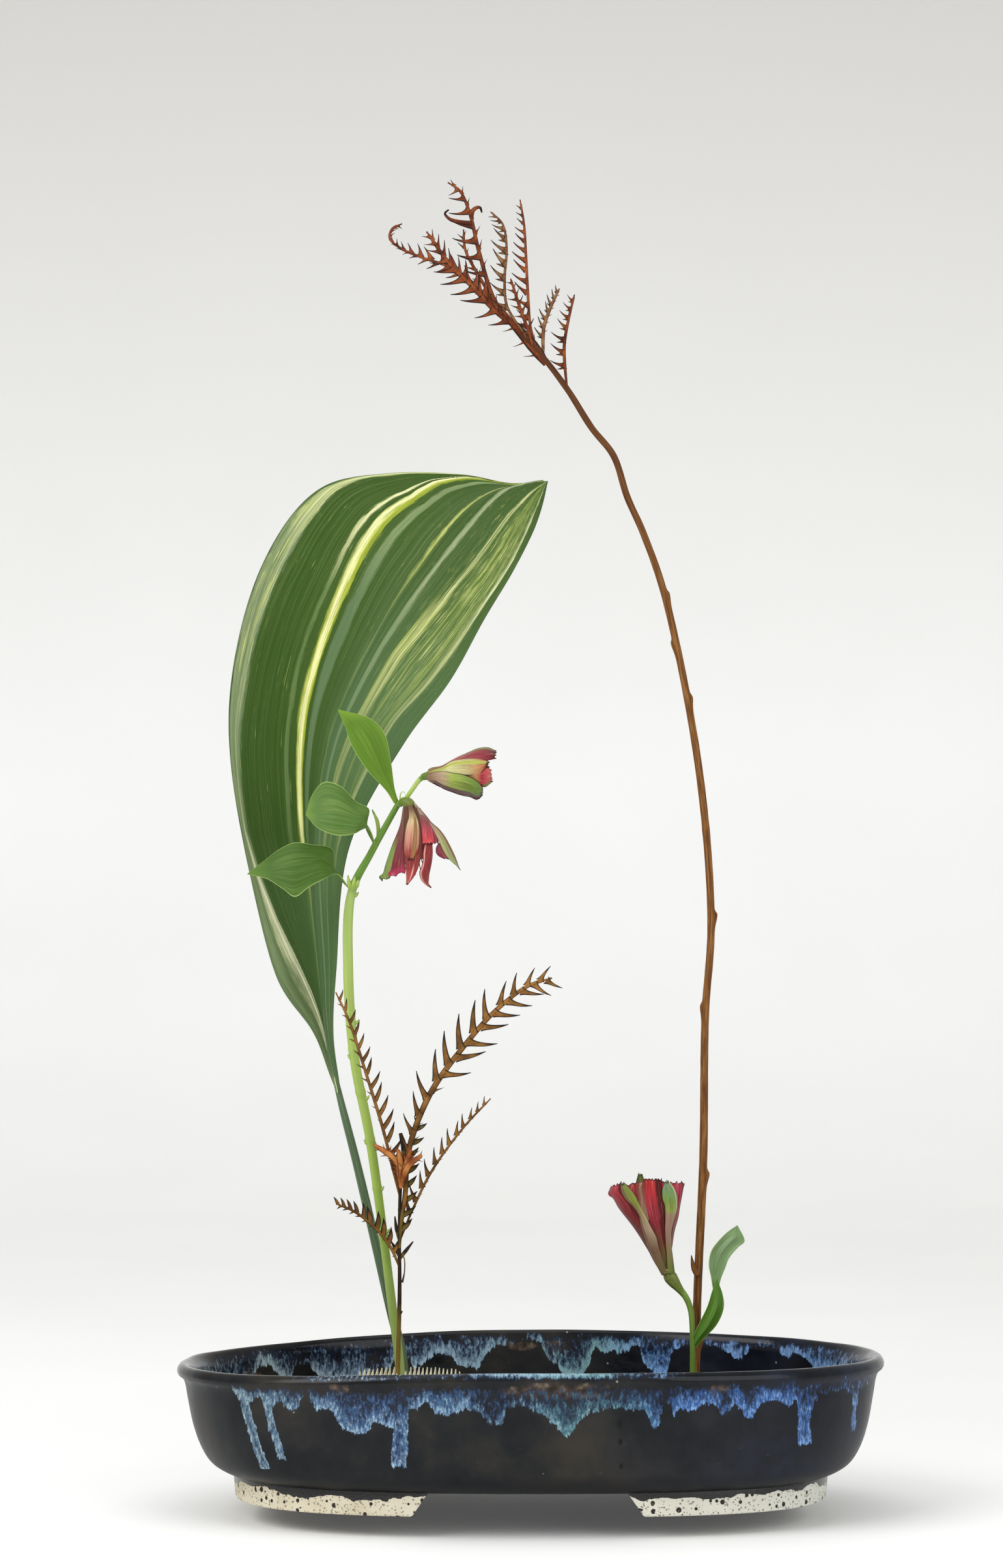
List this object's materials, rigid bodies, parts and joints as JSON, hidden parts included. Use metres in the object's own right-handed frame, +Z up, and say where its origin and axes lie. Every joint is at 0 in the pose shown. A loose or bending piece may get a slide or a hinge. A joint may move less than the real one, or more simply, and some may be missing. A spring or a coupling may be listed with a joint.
{
  "type": "ikebana arrangement",
  "caption": "Flower arrangement in a shallow oval glazed bowl: a tall bowed branch with toothed dried fronds, a striped leaf, trumpet blooms and a short toothed spray on needle holders.",
  "frame": {"origin": "on the table under the centre of the oval bowl", "axes": "+Z up, +X to the right along the bowl's length as seen from the front, +Y away from the front"},
  "size_m": [0.356, 0.232, 0.662],
  "materials": {
    "glaze": "glossy, very dark glaze with running blue and pale streaks, over speckled cream stoneware feet",
    "water": "clear still water",
    "needle_brass": "satin metal pins on a grey base",
    "striped_leaf": "satin dark green with cream and grey-green stripes",
    "green_stem": "satin light green",
    "petal": "matte crimson with cream stripes and green tips",
    "bark": "matte brown bark",
    "dried_frond": "matte rust brown with dark edges",
    "spray_wood": "matte near-black brown",
    "ochre_frond": "matte ochre brown with dark edges"
  },
  "bodies": {
    "root": {"bowl": "glaze", "water": "water", "left_needle_holder": "needle_brass", "right_needle_holder": "needle_brass", "striped_leaf": "striped_leaf", "leafy_flower_stem": "green_stem", "side_bloom": "petal", "hanging_bloom": "petal", "upright_bloom": "petal", "short_flower_stem": "green_stem", "tall_branch": "bark", "tall_frond_1": "dried_frond", "tall_frond_2": "dried_frond", "tall_frond_3": "dried_frond", "tall_frond_4": "dried_frond", "tall_frond_5": "dried_frond", "tall_frond_6": "dried_frond", "tall_frond_7": "dried_frond", "tall_frond_8": "dried_frond", "tall_frond_9": "dried_frond", "spray_stem": "spray_wood", "spray_frond_1": "ochre_frond", "spray_frond_2": "ochre_frond", "spray_frond_3": "ochre_frond", "spray_frond_4": "ochre_frond"}
  },
  "joints": []
}
